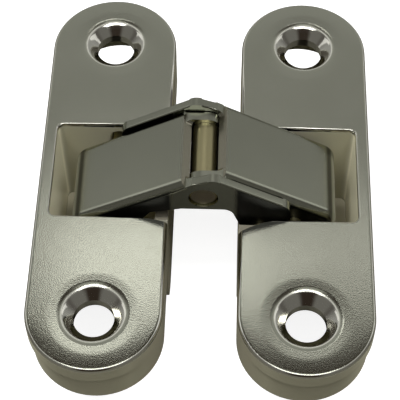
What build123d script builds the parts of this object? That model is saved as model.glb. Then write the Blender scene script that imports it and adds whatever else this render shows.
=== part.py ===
# Concealed hinge, opened flat and lying on its back.
# Two long leaves with rounded ends each hold a deep housing with a pocket. Two folded sheet
# arms cross on one pin between the leaves. Each arm slides in the pocket of its own leaf and
# reaches past the pin with one leg, which is pivoted in the pocket of the other leaf.
# X runs across the hinge, Y along the leaves and Z up out of the leaf faces. The origin is
# midway between the leaves, level with the undersides of the two housings.
import os
from math import cos, radians, sin, tan

from build123d import *

os.makedirs("parts", exist_ok=True)

# Leaf face plate and the hollow skirt under it
leaf_length = 48.0
leaf_width = 14.0
open_gap = 7.5
plate_thickness = 2.2
rim_round = 0.4
skirt_inset = 0.3
skirt_depth = 6.2
skirt_wall = 1.4

# Screw holes, each set in from its end of the leaf
hole_inset = 6.5
hole_radius = 2.1
sink_radius = 3.3
sink_angle = 90.0
sink_lip_round = 1.2

# Folded sheet arms
sheet = 1.0
arm_width = 9.6
flange_gap = 0.1
arm_slope = 31.5
web_rise = 3.12
web_reach = 14.2
curl_radius = 2.0
curl_drop = 1.75
fold_radius = 0.95
leg_rise = 3.35
leg_reach = 9.15
leg_corner = 1.5
leg_end_radius = 1.95
crest_reach = 1.1
crest_round = 1.2
saddle_reach = 1.2
saddle_rise = 2.35
throat_reach = 2.9
throat_round = 1.2
lug_radius = 2.05
window_setback = 0.8
window_low_setback = 0.4
window_corner = 0.5
flange_corner = 1.5
flange_knee = 0.5

# Pins
pin_height = 2.9
pin_radius = 1.5
pivot_radius = 1.0
slide_radius = 0.9
slide_gap = 0.714
slide_drop = 5.9
slide_wall = 1.0
running_clearance = 0.05
pin_end_play = 0.15
pin_chamfer = 0.2
pin_recess = 0.2

# How far the arms turn, and where the pin lies when the leaves are shut face to face
spread = 12.0
closed_gap = 4.0
pin_to_wall_shut = 3.5

# Housing and pocket
housing_depth = 14.5
housing_end_wall = 2.6
housing_draft = 1.0
housing_corner = 4.0
side_gap = 0.56
outer_wall = 1.45
inner_wall = 1.4
pocket_depth = 13.6
pocket_corner = 0.7
pocket_edge_round = 0.25
sill_depth = 1.2
notch_gap = 0.35
slot_clearance = 0.18
slot_depth = 1.4
slot_overrun = 0.8
pivot_hole_depth = 1.4

# Shallow reliefs beside the mouth of the pocket, a long one by the leg and a short one by the web
leg_relief_length = 5.3
leg_relief_width = 1.7
leg_relief_depth = 1.1
web_relief_length = 4.8
web_relief_width = 0.65
web_relief_depth = 0.5

# Two points count as the same place when they are nearer than this
same_place = 0.001

# Places worked out from the sizes above
face_z = housing_depth
leaf_centre = (open_gap + leaf_width) / 2
inner_edge = open_gap / 2
pocket_end = inner_edge + leaf_width - outer_wall
pocket_start = inner_edge + inner_wall
stack_half = (arm_width + sheet + flange_gap) / 2
pocket_half = stack_half + side_gap
near_face = -stack_half
far_face = near_face + arm_width
housing_half = pocket_half + housing_end_wall
hole_spacing = leaf_length - 2 * hole_inset

# The linkage, seen along Y as points across and up. The left leaf stays still.
leg_turn = 90 + spread
web_turn = 90 - spread
pin_open = Vector(0, face_z + pin_height)
pin_shut = Vector(pin_to_wall_shut - pocket_end, face_z + closed_gap / 2)
pin_travel = pin_shut - pin_open
leg_pivot = (pin_open + pin_shut) / 2 + pin_travel.rotate(Axis.Z, 90) * (0.5 / tan(radians(leg_turn / 2)))

# Each slide pin lies just past the end of the other arm's leg
slide_x = leg_pivot.X - leg_end_radius - slide_gap - slide_radius
slide_open = Vector(slide_x, pin_open.Y - slide_drop)


def slide_at(share):
    """Place of the left slide pin in its slot, when the hinge is shut by this share."""
    pin = leg_pivot + (pin_open - leg_pivot).rotate(Axis.Z, share * leg_turn)
    return pin + (slide_open - pin_open).rotate(Axis.Z, share * web_turn)


def side_plane(y):
    """Upright plane across the hinge at this Y, drawn with X to the right and Z up."""
    return Plane.XZ.offset(-y)


# Directions along the sloping web, which falls away to the left of the pin, and square to it
web_along = Vector(-cos(radians(arm_slope)), -sin(radians(arm_slope)))
web_normal = Vector(-sin(radians(arm_slope)), cos(radians(arm_slope)))


def web_height(x, rise):
    """Height of the line that runs parallel to the web, this far above the pin, at this X."""
    return pin_open.Y + (rise - web_normal.X * x) / web_normal.Y


# Left leaf: a zinc casting with the face plate, skirt and housing in one
with BuildPart() as left_body:
    with BuildSketch(Plane.XY.offset(face_z)):
        with Locations((-leaf_centre, 0)):
            SlotOverall(leaf_length, leaf_width, rotation=90)
    extrude(amount=-plate_thickness)
    fillet(left_body.faces().sort_by(Axis.Z)[-1].edges(), rim_round)

    # Thin skirt, flush with the plate on the inner side and hollow under both ends
    with BuildSketch(Plane.XY.offset(face_z - plate_thickness)):
        with Locations((-leaf_centre + skirt_inset / 2, 0)):
            skirt_length = leaf_length - 2 * skirt_inset
            skirt_width = leaf_width - skirt_inset
            SlotOverall(skirt_length, skirt_width, rotation=90)
            SlotOverall(
                skirt_length - 2 * skirt_wall,
                skirt_width - 2 * skirt_wall,
                rotation=90,
                mode=Mode.SUBTRACT,
            )
    extrude(amount=plate_thickness - skirt_depth)

    # Deep housing in the middle, drafted and rounded at its lower corners
    with BuildSketch(Plane.YZ.offset(-inner_edge)) as housing_side:
        with BuildLine():
            Polyline(
                (-housing_half - housing_draft, face_z - plate_thickness),
                (-housing_half, 0),
                (housing_half, 0),
                (housing_half + housing_draft, face_z - plate_thickness),
                close=True,
            )
        make_face()
        fillet(housing_side.vertices().group_by(Axis.Y)[0], housing_corner)
    extrude(amount=skirt_inset - leaf_width)

    # Pocket for the arms, with softly rounded edges on the face
    with BuildSketch(Plane.XY.offset(face_z)):
        with Locations((-(pocket_start + pocket_end) / 2, 0)):
            RectangleRounded(pocket_end - pocket_start, 2 * pocket_half, pocket_corner)
    extrude(amount=-pocket_depth, mode=Mode.SUBTRACT)
    face = left_body.faces().filter_by(Axis.Z).sort_by(Axis.Z)[-1]
    fillet(face.inner_wires()[0].edges(), pocket_edge_round)

    # Sill where the arms pass over the inner wall, and a deeper notch for the leg
    with BuildSketch(Plane.XY.offset(face_z)):
        with Locations((-pocket_start - pocket_corner, 0)):
            Rectangle(pocket_start + pocket_corner, 2 * pocket_half, align=(Align.MIN, Align.CENTER))
    extrude(amount=-sill_depth, mode=Mode.SUBTRACT)
    notch_width = side_gap + sheet + flange_gap + notch_gap
    with BuildSketch(Plane.XY.offset(face_z)):
        with Locations((-pocket_start - pocket_corner, pocket_half)):
            Rectangle(pocket_start + pocket_corner, notch_width, align=(Align.MIN, Align.MAX))
    notch_floor = leg_pivot.Y - leg_end_radius - notch_gap
    extrude(amount=notch_floor - face_z, mode=Mode.SUBTRACT)

    # Shallow curved reliefs in the face beside the mouth
    for side, length, width, depth in (
        (1, leg_relief_length, leg_relief_width, leg_relief_depth),
        (-1, web_relief_length, web_relief_width, web_relief_depth),
    ):
        with BuildSketch(Plane.XY.offset(face_z)):
            with BuildLine():
                start = (-inner_edge - length, side * pocket_half)
                corner = (-inner_edge, side * (pocket_half + width))
                TangentArc(start, corner, tangent=(1, 0))
                Polyline(corner, (0, corner[1]), (0, 0), (start[0], 0), start)
            make_face()
        extrude(amount=-depth, mode=Mode.SUBTRACT)

    # Countersunk screw holes with a soft lip
    with Locations((-leaf_centre, hole_spacing / 2, face_z), (-leaf_centre, -hole_spacing / 2, face_z)):
        CounterSinkHole(hole_radius, sink_radius, depth=skirt_depth, counter_sink_angle=sink_angle)
    rims = left_body.edges().filter_by(GeomType.CIRCLE).filter_by_position(Axis.Z, face_z, face_z)
    fillet(rims.filter_by(lambda rim: rim.is_closed), sink_lip_round)

    # Blind hole for the pivot of the other arm's leg, in the far wall
    with BuildSketch(side_plane(pocket_half)):
        with Locations((leg_pivot.X, leg_pivot.Y)):
            Circle(pivot_radius + running_clearance)
    extrude(amount=-pivot_hole_depth, mode=Mode.SUBTRACT)

    # Curved slots for the slide pin, sunk in both walls
    with BuildSketch(side_plane(0)):
        with BuildLine(mode=Mode.PRIVATE):
            slot_path = ThreePointArc(slide_at(0), slide_at(0.5), slide_at(1))
        SlotArc(slot_path, 2 * (slide_radius + slot_clearance))
        with Locations((slide_open.X, slide_open.Y + slot_overrun / 2)):
            SlotCenterToCenter(slot_overrun, 2 * (slide_radius + slot_clearance), rotation=90)
    extrude(amount=pocket_half + slot_depth, both=True, mode=Mode.SUBTRACT)

# Right leaf: the same casting turned half round
with BuildPart() as right_body:
    add(left_body.part, rotation=(0, 0, 180))

# Corners of the left arm, seen from the near side
window_top = pin_open + web_normal * web_rise + web_along * window_setback
window_low = pin_open + web_normal * (web_rise - sheet) + web_along * window_low_setback
window_cut = window_top - window_low
web_end_top = Vector(-web_reach, web_height(-web_reach, web_rise))
web_end_low = Vector(-web_reach, web_end_top.Y - curl_drop)
web_inner_x = sheet - web_reach
lug_low = pin_open.Y - lug_radius
slide_low = slide_open.Y - slide_radius - slide_wall

# Left arm: folded from one sheet, with a sloping web and two flanges
with BuildPart() as left_arm:
    # Web, curled down at its end
    with BuildSketch(side_plane(far_face)) as web_side:
        with BuildLine():
            Polyline(
                window_top,
                web_end_top,
                web_end_low,
                (web_inner_x, web_end_low.Y),
                (web_inner_x, web_height(web_inner_x, web_rise - sheet)),
                window_low,
                close=True,
            )
        make_face()
        fillet(web_side.vertices().group_by(Axis.X)[1].sort_by(Axis.Y)[-1], curl_radius - sheet)
        fillet(web_side.vertices().group_by(Axis.X)[0].sort_by(Axis.Y)[-1], curl_radius)
    extrude(amount=arm_width)

    # Two flanges folded down from the web, which hold the slide pin
    for flange_side in (near_face + sheet, far_face):
        with BuildSketch(side_plane(flange_side)) as flange:
            with BuildLine():
                Polyline(
                    window_top,
                    web_end_top,
                    web_end_low,
                    (slide_open.X - slide_radius - slide_wall, slide_low),
                    (slide_open.X + slide_radius, slide_low),
                    (-pocket_start - flange_knee, face_z),
                    (window_top.X, lug_low),
                    close=True,
                )
            make_face()
            fillet(flange.vertices().group_by(Axis.X)[0].sort_by(Axis.Y)[-1], curl_radius)
            low_corners = flange.vertices().filter_by_position(
                Axis.Y, slide_low - same_place, slide_low + same_place
            )
            fillet(low_corners, flange_corner)
        extrude(amount=sheet)

    def on_fold(edge):
        """True for the outer edges where the flanges are folded down from the web."""
        middle = edge @ 0.5
        across = Vector(middle.X, middle.Z) - pin_open
        on_web = abs(across.dot(web_normal) - web_rise) < same_place
        on_end = abs(across.X + web_reach) < same_place
        return on_web or on_end

    for fold_y in (near_face, far_face):
        outline = left_arm.edges().filter_by_position(Axis.Y, fold_y, fold_y)
        fillet(outline.filter_by(on_fold), fold_radius)

    # Long leg on the near flange, which passes the pin and ends at the pivot in the other leaf
    crest = (crest_reach, web_height(-crest_reach, leg_rise))
    with BuildSketch(side_plane(near_face + sheet)) as leg:
        with BuildLine():
            Polyline(
                (window_top + window_low) / 2,
                (-saddle_reach, pin_open.Y + saddle_rise),
                crest,
                (leg_reach, web_height(-leg_reach, leg_rise)),
                (leg_reach, leg_pivot.Y + leg_end_radius),
                (leg_end_radius - leg_pivot.X, leg_pivot.Y),
                (-leg_end_radius - leg_pivot.X, leg_pivot.Y),
                (throat_reach, lug_low),
                (window_top.X, lug_low),
                (window_top.X, web_height(window_top.X, web_rise - sheet)),
                window_low,
                close=True,
            )
        make_face()
        fillet(leg.vertices().sort_by(Axis.Y)[-1], crest_round)
        fillet(leg.vertices().sort_by_distance((throat_reach, lug_low))[0], throat_round)
        fillet(leg.vertices().group_by(Axis.X)[-1].sort_by(Axis.Y)[-1], leg_corner)
        with Locations((-leg_pivot.X, leg_pivot.Y)):
            Circle(leg_end_radius)
    extrude(amount=sheet)

    # Short round lug on the far flange, under the web of the other arm
    with BuildSketch(side_plane(far_face)):
        with Locations((window_top.X, pin_open.Y)):
            Rectangle(-window_top.X, 2 * lug_radius, align=(Align.MIN, Align.CENTER))
        with Locations((0, pin_open.Y)):
            Circle(lug_radius)
    extrude(amount=sheet)

    # Rounded inner corners of the window over the pin
    window_edges = left_arm.edges().filter_by(Axis((0, 0, 0), (window_cut.X, 0, window_cut.Y)))
    fillet(window_edges.filter_by_position(Axis.Y, near_face + sheet / 2, far_face - sheet / 2), window_corner)

    # Holes for the three pins
    with BuildSketch(side_plane(0)):
        with Locations((0, pin_open.Y)):
            Circle(pin_radius + running_clearance)
        with Locations((slide_open.X, slide_open.Y)):
            Circle(slide_radius)
        with Locations((-leg_pivot.X, leg_pivot.Y)):
            Circle(pivot_radius)
    extrude(amount=pocket_half, both=True, mode=Mode.SUBTRACT)

# Right arm: the same stamping turned half round
with BuildPart() as right_arm:
    add(left_arm.part, rotation=(0, 0, 180))

# Centre pin, its ends a little below the faces of the outer flanges
with BuildPart() as centre_pin:
    with BuildSketch(side_plane(0)):
        with Locations((0, pin_open.Y)):
            Circle(pin_radius)
    extrude(amount=stack_half - pin_recess, both=True)
    chamfer(centre_pin.edges().filter_by(GeomType.CIRCLE), pin_chamfer)

# Slide pin across the left arm, with its ends in the slots of the left leaf
with BuildPart() as left_slide_pin:
    with BuildSketch(side_plane(0)):
        with Locations((slide_open.X, slide_open.Y)):
            Circle(slide_radius)
    extrude(amount=pocket_half + slot_depth - pin_end_play, both=True)
    chamfer(left_slide_pin.edges().filter_by(GeomType.CIRCLE), pin_chamfer)

with BuildPart() as right_slide_pin:
    add(left_slide_pin.part, rotation=(0, 0, 180))

# Pivot pin in the left arm's leg, turning in the blind hole of the right leaf
with BuildPart() as left_pivot_pin:
    with BuildSketch(side_plane(near_face + sheet)):
        with Locations((-leg_pivot.X, leg_pivot.Y)):
            Circle(pivot_radius)
    extrude(amount=sheet + side_gap + pivot_hole_depth - pin_end_play)
    chamfer(left_pivot_pin.edges().filter_by(GeomType.CIRCLE), pin_chamfer)

with BuildPart() as right_pivot_pin:
    add(left_pivot_pin.part, rotation=(0, 0, 180))

for name, piece in (
    ("left_body", left_body),
    ("right_body", right_body),
    ("left_arm", left_arm),
    ("right_arm", right_arm),
    ("centre_pin", centre_pin),
    ("left_slide_pin", left_slide_pin),
    ("right_slide_pin", right_slide_pin),
    ("left_pivot_pin", left_pivot_pin),
    ("right_pivot_pin", right_pivot_pin),
):
    piece.part.label = name
    export_step(piece.part, f"parts/{name}.step")
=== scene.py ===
# Concealed hinge, opened flat on its back: the finish of each piece, and the studio it stands in.
import math

import bmesh
import bpy
from mathutils import Matrix, Vector


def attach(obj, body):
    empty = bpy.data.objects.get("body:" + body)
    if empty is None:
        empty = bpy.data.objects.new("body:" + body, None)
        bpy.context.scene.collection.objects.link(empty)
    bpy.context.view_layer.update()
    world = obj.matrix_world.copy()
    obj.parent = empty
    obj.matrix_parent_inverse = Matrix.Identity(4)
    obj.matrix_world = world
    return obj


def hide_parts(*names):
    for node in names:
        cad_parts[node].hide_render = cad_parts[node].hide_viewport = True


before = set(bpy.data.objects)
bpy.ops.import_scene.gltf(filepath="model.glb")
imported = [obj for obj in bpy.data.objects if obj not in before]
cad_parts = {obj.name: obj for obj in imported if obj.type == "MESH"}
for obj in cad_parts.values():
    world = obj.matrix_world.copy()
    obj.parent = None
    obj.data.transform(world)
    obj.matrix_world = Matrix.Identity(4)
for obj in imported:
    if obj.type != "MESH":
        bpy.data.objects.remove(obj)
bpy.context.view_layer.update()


# Leaves
# Each leaf is one zinc casting: a face plate with rounded ends, a skirt and a deep housing with a pocket.
# The face and the underside are plated in satin nickel, with a fine grain on the face and the ends rolled off
# a little. Rims and countersinks are buffed bright, and the sides and the pocket keep a duller, warmer plating,
# with painted shade on the pocket floor, the inner wall, the end walls and the ledges.


def break_long_edges(shape, width):
    """Rounds the long upper edges of a shape by this width, a little short of their ends."""
    sharp_corner = math.radians(50)
    shortest = 8 * width
    setback = 1.5 * width
    least_rise = 0.5
    long_edges = []
    for edge in shape.edges:
        sharp = edge.is_manifold and edge.calc_face_angle_signed() > sharp_corner
        faces_up = sum(face.normal.z for face in edge.link_faces) > least_rise
        if sharp and faces_up and edge.calc_length() > shortest:
            long_edges.append(edge)
    for edge in long_edges:
        for end in tuple(edge.verts):
            bmesh.utils.edge_split(edge, end, setback / edge.calc_length())
    bmesh.ops.bevel(
        shape,
        geom=long_edges,
        offset=width,
        offset_type="OFFSET",
        segments=3,
        profile=0.5,
        affect="EDGES",
        clamp_overlap=False,
        material=-1,
    )


def merged_copy(node_name, body, edge_width, sharp_from):
    """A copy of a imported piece, its triangles joined and its edges broken, which stands for that piece."""
    same_point = 2e-6
    same_plane = math.radians(0.5)
    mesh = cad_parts[node_name].data.copy()
    mesh.materials.clear()
    joined = bmesh.new()
    joined.from_mesh(mesh)
    bmesh.ops.remove_doubles(joined, verts=joined.verts, dist=same_point)
    bmesh.ops.dissolve_limit(joined, angle_limit=same_plane, verts=joined.verts, edges=joined.edges)
    break_long_edges(joined, edge_width)
    joined.to_mesh(mesh)
    joined.free()
    mesh.shade_smooth()
    mesh.set_sharp_from_angle(angle=math.radians(sharp_from))
    piece = bpy.data.objects.new(f"{node_name}_finished", mesh)
    bpy.context.scene.collection.objects.link(piece)
    flat_light = piece.modifiers.new("flat light", "WEIGHTED_NORMAL")
    flat_light.keep_sharp = True
    flat_light.weight = 100
    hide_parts(node_name)
    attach(piece, body)
    return piece


def add_node(tree, kind, **settings):
    """A new shader node with these settings."""
    node = tree.nodes.new(kind)
    for name, value in settings.items():
        setattr(node, name, value)
    return node


def feed(tree, socket, value):
    """Gives a socket a plain number, a colour or the output of another node."""
    if isinstance(value, (int, float)):
        socket.default_value = value
    elif isinstance(value, tuple):
        socket.default_value = (*value, 1.0)
    else:
        tree.links.new(value, socket)


def work_out(tree, operation, *inputs, clamp=False):
    """The output of a maths node over sockets or plain numbers."""
    node = add_node(tree, "ShaderNodeMath", operation=operation, use_clamp=clamp)
    for socket, value in zip(node.inputs, inputs):
        feed(tree, socket, value)
    return node.outputs[0]


def unsigned(tree, value):
    """A value without its sign."""
    return work_out(tree, "ABSOLUTE", value)


def distance(tree, across, along):
    """How far off a point is that lies this far across and this far along."""
    squares = (work_out(tree, "MULTIPLY", across, across), work_out(tree, "MULTIPLY", along, along))
    return work_out(tree, "SQRT", work_out(tree, "ADD", *squares))


def ease(tree, value, low, high):
    """Smooth step from 0 at low to 1 at high."""
    node = add_node(tree, "ShaderNodeMapRange", interpolation_type="SMOOTHSTEP")
    tree.links.new(value, node.inputs["Value"])
    node.inputs["From Min"].default_value = low
    node.inputs["From Max"].default_value = high
    return node.outputs["Result"]


def blend_colours(tree, share, first, second):
    """The colour between two colours, by a share from 0 to 1."""
    node = add_node(tree, "ShaderNodeMix", data_type="RGBA")
    for socket, value in ((node.inputs[0], share), (node.inputs[6], first), (node.inputs[7], second)):
        feed(tree, socket, value)
    return node.outputs[2]


def blend_values(tree, share, first, second):
    """The number between two numbers, by a share from 0 to 1."""
    node = add_node(tree, "ShaderNodeMix", data_type="FLOAT")
    for socket, value in ((node.inputs[0], share), (node.inputs[2], first), (node.inputs[3], second)):
        feed(tree, socket, value)
    return node.outputs[0]


mm_per_metre = 1000.0


def millimetres(tree):
    """Object coordinates in millimetres, and the direction that the surface faces."""
    place = add_node(tree, "ShaderNodeTexCoord")
    scaled = add_node(tree, "ShaderNodeVectorMath", operation="SCALE")
    scaled.inputs["Scale"].default_value = mm_per_metre
    tree.links.new(place.outputs["Object"], scaled.inputs[0])
    return scaled.outputs[0], place.outputs["Normal"]


def split(tree, vector):
    """The three parts of a vector."""
    node = add_node(tree, "ShaderNodeSeparateXYZ")
    tree.links.new(vector, node.inputs[0])
    return node.outputs[0], node.outputs[1], node.outputs[2]


# Plating grain: the fine orange-peel of a blasted and plated face, with a slow drift in tone
plating_grain = bpy.data.node_groups.new("plating grain", "ShaderNodeTree")
plating_grain.interface.new_socket("Place", in_out="INPUT", socket_type="NodeSocketVector")
plating_grain.interface.new_socket("Grains per mm", in_out="INPUT", socket_type="NodeSocketFloat")
plating_grain.interface.new_socket("Height", in_out="OUTPUT", socket_type="NodeSocketFloat")
plating_grain.interface.new_socket("Drift", in_out="OUTPUT", socket_type="NodeSocketFloat")
grain_in = add_node(plating_grain, "NodeGroupInput")
grain_out = add_node(plating_grain, "NodeGroupOutput")
fine_grain = add_node(plating_grain, "ShaderNodeTexNoise")
fine_grain.inputs["Detail"].default_value = 1.0
slow_drift = add_node(plating_grain, "ShaderNodeTexNoise")
slow_drift.inputs["Scale"].default_value = 0.22
slow_drift.inputs["Detail"].default_value = 2.0
plating_grain.links.new(grain_in.outputs["Place"], fine_grain.inputs["Vector"])
plating_grain.links.new(grain_in.outputs["Grains per mm"], fine_grain.inputs["Scale"])
plating_grain.links.new(grain_in.outputs["Place"], slow_drift.inputs["Vector"])
plating_grain.links.new(fine_grain.outputs["Fac"], grain_out.inputs["Height"])
plating_grain.links.new(slow_drift.outputs["Fac"], grain_out.inputs["Drift"])


def grain_of(tree, place, per_mm):
    """The plating grain at this place, as its height and its slow drift in tone."""
    node = add_node(tree, "ShaderNodeGroup", node_tree=plating_grain)
    tree.links.new(place, node.inputs["Place"])
    node.inputs["Grains per mm"].default_value = per_mm
    return node.outputs["Height"], node.outputs["Drift"]


def new_metal(name):
    """A plain metal, with its shader and its node tree."""
    metal = bpy.data.materials.new(name)
    metal.use_nodes = True
    shader = metal.node_tree.nodes["Principled BSDF"]
    shader.inputs["Metallic"].default_value = 1.0
    return metal, metal.node_tree, shader


def bump_from(tree, height):
    """The normal of a surface with this height on it, in millimetres."""
    node = add_node(tree, "ShaderNodeBump")
    node.inputs["Strength"].default_value = 1.0
    node.inputs["Distance"].default_value = 1 / mm_per_metre
    tree.links.new(height, node.inputs["Height"])
    return node.outputs["Normal"]


# Places on the leaf, in millimetres
leaf_face_z = 14.5
hole_x = 10.75
hole_y = 17.5
sink_edge = 3.95
end_centre_y = 17.0

satin_nickel, leaf_tree, leaf_shader = new_metal("satin nickel leaf")
leaf_place, leaf_normal = millimetres(leaf_tree)
leaf_x, leaf_y, leaf_z = split(leaf_tree, leaf_place)
_, leaf_along, leaf_facing = split(leaf_tree, leaf_normal)
leaf_grain, leaf_drift = grain_of(leaf_tree, leaf_place, 7.5)
leaf_reach_x = unsigned(leaf_tree, leaf_x)
leaf_reach_y = unsigned(leaf_tree, leaf_y)
from_hole_x = work_out(leaf_tree, "SUBTRACT", leaf_reach_x, hole_x)
from_hole_y = work_out(leaf_tree, "SUBTRACT", leaf_reach_y, hole_y)
from_hole = distance(leaf_tree, from_hole_x, from_hole_y)

# The face and the buffed rims and countersinks, told apart by height and by the way they face
within_sink = ease(leaf_tree, from_hole, sink_edge, sink_edge - 0.25)
above_bore = ease(leaf_tree, leaf_z, leaf_face_z - 3.6, leaf_face_z - 3.3)
in_sink = work_out(leaf_tree, "MULTIPLY", within_sink, above_bore)
near_face = ease(leaf_tree, leaf_z, leaf_face_z - 0.55, leaf_face_z - 0.35)
at_top = work_out(leaf_tree, "MAXIMUM", in_sink, near_face)
flat_up = ease(leaf_tree, leaf_facing, 0.80, 0.97)
on_face = work_out(leaf_tree, "MULTIPLY", at_top, flat_up)
buffed = work_out(leaf_tree, "SUBTRACT", at_top, on_face, clamp=True)
underside = ease(leaf_tree, leaf_facing, -0.5, -0.8)

# The duller plating of the sides and the pocket, with painted shade on the pocket floor, the inner wall, the
# walls that face along the leaf and the ledges
side_plating_and_shade = blend_colours(leaf_tree, leaf_drift, (0.90, 0.86, 0.62), (0.95, 0.91, 0.68))
# Painted shade: the pocket floor is painted darker than the walls
above_floor = ease(leaf_tree, leaf_z, 0.95, 1.6)
side_plating_and_shade = blend_colours(leaf_tree, above_floor, (0.50, 0.47, 0.34), side_plating_and_shade)
# Painted shade: the inner wall, in the shaded gap between the leaves, is painted darker
inner_wall = ease(leaf_tree, leaf_reach_x, 7.5, 6.0)
side_plating_and_shade = blend_colours(leaf_tree, inner_wall, side_plating_and_shade, (0.46, 0.43, 0.31))
# Painted shade: surfaces that face along the leaf, the pocket end walls and the skirt ends, are painted darker
end_wall = ease(leaf_tree, unsigned(leaf_tree, leaf_along), 0.4, 0.95)
side_plating_and_shade = blend_colours(leaf_tree, end_wall, side_plating_and_shade, (0.47, 0.45, 0.32))
# Painted shade: level and sloping ledges above the pocket floor are painted near black
level = ease(leaf_tree, leaf_facing, 0.6, 0.85)
ledge = work_out(leaf_tree, "MULTIPLY", level, ease(leaf_tree, leaf_z, 1.6, 2.2))
side_plating_and_shade = blend_colours(leaf_tree, ledge, side_plating_and_shade, (0.14, 0.13, 0.10))

face_plating = blend_colours(leaf_tree, leaf_drift, (0.60, 0.612, 0.50), (0.66, 0.672, 0.56))
leaf_colour = blend_colours(leaf_tree, on_face, side_plating_and_shade, face_plating)
leaf_colour = blend_colours(leaf_tree, buffed, leaf_colour, (0.80, 0.79, 0.71))
leaf_colour = blend_colours(leaf_tree, underside, leaf_colour, (0.56, 0.54, 0.44))
leaf_tree.links.new(leaf_colour, leaf_shader.inputs["Base Color"])
plated = work_out(leaf_tree, "MAXIMUM", work_out(leaf_tree, "MAXIMUM", on_face, buffed), underside)
leaf_tree.links.new(plated, leaf_shader.inputs["Metallic"])
face_rough = blend_values(leaf_tree, leaf_grain, 0.14, 0.20)
leaf_rough = blend_values(leaf_tree, on_face, 0.26, face_rough)
leaf_rough = blend_values(leaf_tree, buffed, leaf_rough, 0.10)
leaf_tree.links.new(leaf_rough, leaf_shader.inputs["Roughness"])

# Height of the surface: grain, a soft dish round each countersink, and the face rolled off at its ends
dish_depth = 0.034
flat_radius = 5.0
roll_rate = 0.012
grain_depth = blend_values(leaf_tree, buffed, 0.0064, 0.001)
grain_height = work_out(leaf_tree, "MULTIPLY", leaf_grain, grain_depth)
out_of_sink = ease(leaf_tree, from_hole, sink_edge - 0.6, sink_edge + 0.9)
dish = work_out(leaf_tree, "MULTIPLY", out_of_sink, dish_depth)
past_end = work_out(leaf_tree, "SUBTRACT", leaf_reach_y, end_centre_y)
past_end = work_out(leaf_tree, "MAXIMUM", past_end, 0.0)
from_middle = distance(leaf_tree, from_hole_x, past_end)
near_outline = work_out(leaf_tree, "SUBTRACT", from_middle, flat_radius)
near_outline = work_out(leaf_tree, "MAXIMUM", near_outline, 0.0)
rolled = work_out(leaf_tree, "MULTIPLY", near_outline, near_outline)
rolled = work_out(leaf_tree, "MULTIPLY", rolled, roll_rate)
rolled = work_out(leaf_tree, "MULTIPLY", rolled, ease(leaf_tree, past_end, 0.5, 5.0))
leaf_height = work_out(leaf_tree, "ADD", grain_height, work_out(leaf_tree, "SUBTRACT", dish, rolled))
leaf_tree.links.new(bump_from(leaf_tree, leaf_height), leaf_shader.inputs["Normal"])

leaf_edge = 0.00010
leaf_sharp_from = 32
for leaf_node, leaf_body in (("left_body", "left_leaf"), ("right_body", "right_leaf")):
    leaf = merged_copy(leaf_node, leaf_body, leaf_edge, leaf_sharp_from)
    leaf.data.materials.append(satin_nickel)


# Arms
# Two like stampings of 1 mm steel sheet, folded to a channel and plated in bright nickel.
# They cross on the centre pin, and each one's long leg runs past the pin into the other leaf.
bright_nickel, arm_tree, arm_shader = new_metal("bright nickel arm")
arm_place, arm_normal = millimetres(arm_tree)
arm_grain, arm_drift = grain_of(arm_tree, arm_place, 7.0)
arm_x, _, _ = split(arm_tree, arm_place)
arm_across, arm_along, arm_facing = split(arm_tree, arm_normal)
arm_reach = unsigned(arm_tree, arm_x)

# Sides keep the arm's tone round the pin and are painted near black with painted shade inside the leaves, and
# before the curled end the web has a painted shaded crease, with a lighter painted band on the curled end
arm_colour = blend_colours(arm_tree, arm_drift, (0.38, 0.39, 0.313), (0.428, 0.437, 0.352))
arm_side = ease(arm_tree, unsigned(arm_tree, arm_along), 0.80, 0.97)
off_pin = ease(arm_tree, arm_reach, 3.0, 3.7)
# Painted shade: the flange sides inside the leaves are painted near black
side_tone_and_shade = blend_colours(arm_tree, off_pin, (0.38, 0.39, 0.34), (0.015, 0.015, 0.015))
arm_colour = blend_colours(arm_tree, arm_side, arm_colour, side_tone_and_shade)
sheared = ease(arm_tree, work_out(arm_tree, "MULTIPLY", arm_x, arm_across), -0.5, -0.9)
arm_colour = blend_colours(arm_tree, sheared, arm_colour, (0.42, 0.40, 0.31))
# Painted shade: a near-black band across the web just before its curled end
painted_crease_shade = ease(arm_tree, arm_reach, 13.0, 13.45)
arm_colour = blend_colours(arm_tree, painted_crease_shade, arm_colour, (0.10, 0.10, 0.095))
# Painted light: the curled end past the crease is painted a lighter, greyer band
painted_curl_band = ease(arm_tree, arm_reach, 13.65, 13.9)
arm_colour = blend_colours(arm_tree, painted_curl_band, arm_colour, (0.38, 0.40, 0.38))
arm_tree.links.new(arm_colour, arm_shader.inputs["Base Color"])

# Webs are duller than the flanges, and the flat tops duller still
arm_rough = blend_values(arm_tree, arm_grain, 0.09, 0.15)
arm_rough = blend_values(arm_tree, ease(arm_tree, arm_facing, 0.25, 0.60), arm_rough, 0.22)
arm_rough = blend_values(arm_tree, ease(arm_tree, arm_facing, 0.86, 0.93), arm_rough, 0.34)
dull_side = work_out(arm_tree, "MULTIPLY", arm_side, off_pin)
arm_rough = blend_values(arm_tree, dull_side, arm_rough, 0.40)
arm_tree.links.new(arm_rough, arm_shader.inputs["Roughness"])
arm_grain_depth = 0.0016
arm_height = work_out(arm_tree, "MULTIPLY", arm_grain, arm_grain_depth)
arm_tree.links.new(bump_from(arm_tree, arm_height), arm_shader.inputs["Normal"])

arm_edge = 0.00016
arm_sharp_from = 20
for arm_node, arm_body in (("left_arm", "left_link"), ("right_arm", "right_link")):
    arm = merged_copy(arm_node, arm_body, arm_edge, arm_sharp_from)
    arm.data.materials.append(bright_nickel)


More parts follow.
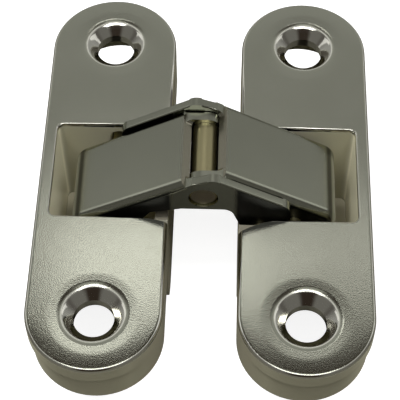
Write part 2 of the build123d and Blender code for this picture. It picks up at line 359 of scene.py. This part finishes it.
# Pins
# Turned steel pins with a thin warm plating: one across the middle that both arms turn on,
# a slide pin pressed through each arm, and a short pivot pin pressed into the end of each leg.
drawn_steel, pin_tree, pin_shader = new_metal("drawn steel pin")
pin_place, pin_normal = millimetres(pin_tree)
pin_grain, pin_drift = grain_of(pin_tree, pin_place, 4.0)
pin_across, pin_along, _ = split(pin_tree, pin_normal)
pin_colour = blend_colours(pin_tree, pin_drift, (0.63, 0.57, 0.32), (0.70, 0.64, 0.37))
# Painted shade: the sides of each barrel, facing across, are painted near black, standing for the dark gap
# beside the pin
pin_side_shade = ease(pin_tree, unsigned(pin_tree, pin_across), 0.78, 0.92)
pin_colour = blend_colours(pin_tree, pin_side_shade, pin_colour, (0.03, 0.03, 0.03))
pin_end = ease(pin_tree, unsigned(pin_tree, pin_along), 0.6, 0.9)
pin_colour = blend_colours(pin_tree, pin_end, pin_colour, (0.30, 0.26, 0.20))
pin_tree.links.new(pin_colour, pin_shader.inputs["Base Color"])
pin_rough = blend_values(pin_tree, pin_grain, 0.33, 0.43)
pin_tree.links.new(pin_rough, pin_shader.inputs["Roughness"])
pin_grain_depth = 0.0010
pin_height = work_out(pin_tree, "MULTIPLY", pin_grain, pin_grain_depth)
pin_tree.links.new(bump_from(pin_tree, pin_height), pin_shader.inputs["Normal"])

pin_edge = 0.00005
pin_sharp_from = 32
for pin_node, pin_body in (
    ("centre_pin", "left_link"),
    ("left_slide_pin", "left_link"),
    ("right_slide_pin", "right_link"),
    ("left_pivot_pin", "left_link"),
    ("right_pivot_pin", "right_link"),
):
    pin = merged_copy(pin_node, pin_body, pin_edge, pin_sharp_from)
    pin.data.materials.append(drawn_steel)


# Floor and studio
# White paper under the housings, which the metal sees as a dark table, and soft boxes behind, aside and above.
# The room is pale behind and grey overhead, with a dark stretch in front between two dim side walls.
floor_half = 3.0
floor_drop = 0.00005
floor_mesh = bpy.data.meshes.new("floor")
floor_shape = bmesh.new()
bmesh.ops.create_grid(floor_shape, x_segments=1, y_segments=1, size=floor_half)
floor_shape.to_mesh(floor_mesh)
floor_shape.free()
floor = bpy.data.objects.new("floor", floor_mesh)
floor.location.z = -floor_drop
bpy.context.scene.collection.objects.link(floor)
pale_floor = bpy.data.materials.new("pale floor")
pale_floor.use_nodes = True
floor_tree = pale_floor.node_tree
floor_tree.nodes.clear()
floor_end = add_node(floor_tree, "ShaderNodeOutputMaterial")
floor_path = add_node(floor_tree, "ShaderNodeLightPath")
table_tone = add_node(floor_tree, "ShaderNodeBsdfDiffuse")
table_tone.inputs["Color"].default_value = (0.10, 0.097, 0.080, 1.0)
paper_tone = add_node(floor_tree, "ShaderNodeBsdfDiffuse")
paper_tone.inputs["Color"].default_value = (0.45, 0.45, 0.45, 1.0)
paper_glow = add_node(floor_tree, "ShaderNodeEmission")
paper_glow.inputs["Strength"].default_value = 0.86
paper = add_node(floor_tree, "ShaderNodeAddShader")
floor_mix = add_node(floor_tree, "ShaderNodeMixShader")
floor_tree.links.new(paper_tone.outputs[0], paper.inputs[0])
floor_tree.links.new(paper_glow.outputs[0], paper.inputs[1])
floor_tree.links.new(floor_path.outputs["Is Camera Ray"], floor_mix.inputs[0])
floor_tree.links.new(table_tone.outputs[0], floor_mix.inputs[1])
floor_tree.links.new(paper.outputs[0], floor_mix.inputs[2])
floor_tree.links.new(floor_mix.outputs[0], floor_end.inputs["Surface"])
floor_mesh.materials.append(pale_floor)

dark_front = (0.030, 0.022, 0.017)
side_wall = (0.15, 0.146, 0.137)
back_wall = (0.31, 0.309, 0.302)
ceiling_grey = (0.34, 0.34, 0.325)
backdrop_white = (0.92, 0.92, 0.92)
world = bpy.data.worlds.new("studio")
bpy.context.scene.world = world
world.use_nodes = True
world_tree = world.node_tree
world_tree.nodes.clear()
world_end = add_node(world_tree, "ShaderNodeOutputWorld")
sky = add_node(world_tree, "ShaderNodeBackground")
sky_place = add_node(world_tree, "ShaderNodeTexCoord")
sky_x, sky_y, sky_z = split(world_tree, sky_place.outputs["Generated"])
behind = ease(world_tree, sky_y, -0.30, 0.50)
behind = work_out(world_tree, "MULTIPLY", behind, ease(world_tree, sky_z, 0.95, 0.72))
aside = ease(world_tree, unsigned(world_tree, sky_x), 0.22, 0.50)
aside = work_out(world_tree, "MULTIPLY", aside, ease(world_tree, sky_y, 0.0, -0.30))
overhead = ease(world_tree, sky_z, 0.965, 0.985)
front = blend_colours(world_tree, aside, dark_front, side_wall)
room = blend_colours(world_tree, behind, front, back_wall)
room = blend_colours(world_tree, overhead, room, ceiling_grey)
sky_path = add_node(world_tree, "ShaderNodeLightPath")
sky_colour = blend_colours(world_tree, sky_path.outputs["Is Camera Ray"], room, backdrop_white)
world_tree.links.new(sky_colour, sky.inputs["Color"])
world_tree.links.new(sky.outputs[0], world_end.inputs["Surface"])


def soft_box(name, place, aim, size, brightness, in_metal=True):
    """A rectangular soft light of this surface brightness, aimed at a point and seen in the metal or not."""
    width, height = size
    lamp = bpy.data.lights.new(name, "AREA")
    lamp.shape = "RECTANGLE"
    lamp.size = width
    lamp.size_y = height
    lamp.energy = brightness * width * height * math.pi
    holder = bpy.data.objects.new(name, lamp)
    holder.location = place
    holder.rotation_mode = "QUATERNION"
    holder.rotation_quaternion = (Vector(aim) - Vector(place)).to_track_quat("-Z", "Y")
    holder.visible_glossy = in_metal
    bpy.context.scene.collection.objects.link(holder)


left_face = (-0.008, -0.010, 0.0145)
left_face_near = (-0.008, -0.014, 0.0145)
right_face = (0.008, -0.010, 0.0145)
hinge_middle = (0.0, 0.0, 0.01)
left_pocket = (-0.016, 0.0, 0.01)
right_pocket = (0.016, 0.0, 0.01)
back_size = (0.060, 0.030)
glint_size = (0.058, 0.014)
side_size = (0.17, 0.11)
pocket_fill_size = (0.10, 0.10)
soft_box("back light", (-0.0235, 0.124, 0.238), left_face, back_size, 1.10)
soft_box("back glint", (-0.020, 0.107, 0.238), left_face_near, glint_size, 0.80)
soft_box("back fill", (0.035, 0.124, 0.238), right_face, back_size, 0.58)
soft_box("left light", (-0.33, 0.11, 0.20), hinge_middle, side_size, 0.55)
soft_box("right light", (0.33, 0.11, 0.20), hinge_middle, side_size, 0.55)
soft_box("ceiling light", (0.0, -0.165, 0.350), (0.0, -0.165, 0.0), (0.36, 0.13), 3.6)
soft_box("ceiling fill", (0.0, -0.07, 0.349), (0.0, -0.07, 0.0), (0.36, 0.22), 0.4, in_metal=False)
soft_box("left pocket fill", (-0.09, -0.02, 0.33), right_pocket, pocket_fill_size, 26.0, in_metal=False)
soft_box("right pocket fill", (0.09, -0.02, 0.33), left_pocket, pocket_fill_size, 17.0, in_metal=False)

# Camera, placed and zoomed to match the photograph
camera_data = bpy.data.cameras.new("camera")
camera_data.lens = 122.58
camera_data.sensor_width = 36.0
camera_data.clip_start = 0.005
camera_data.clip_end = 20.0
camera = bpy.data.objects.new("camera", camera_data)
camera.matrix_world = Matrix(
    (
        (0.99951, -0.02334, 0.02094, 0.00262),
        (0.03099, 0.83721, -0.54601, -0.08241),
        (-0.00479, 0.54639, 0.83752, 0.13529),
        (0.0, 0.0, 0.0, 1.0),
    )
)
bpy.context.scene.collection.objects.link(camera)
bpy.context.scene.camera = camera
bpy.context.scene.view_settings.view_transform = "Standard"
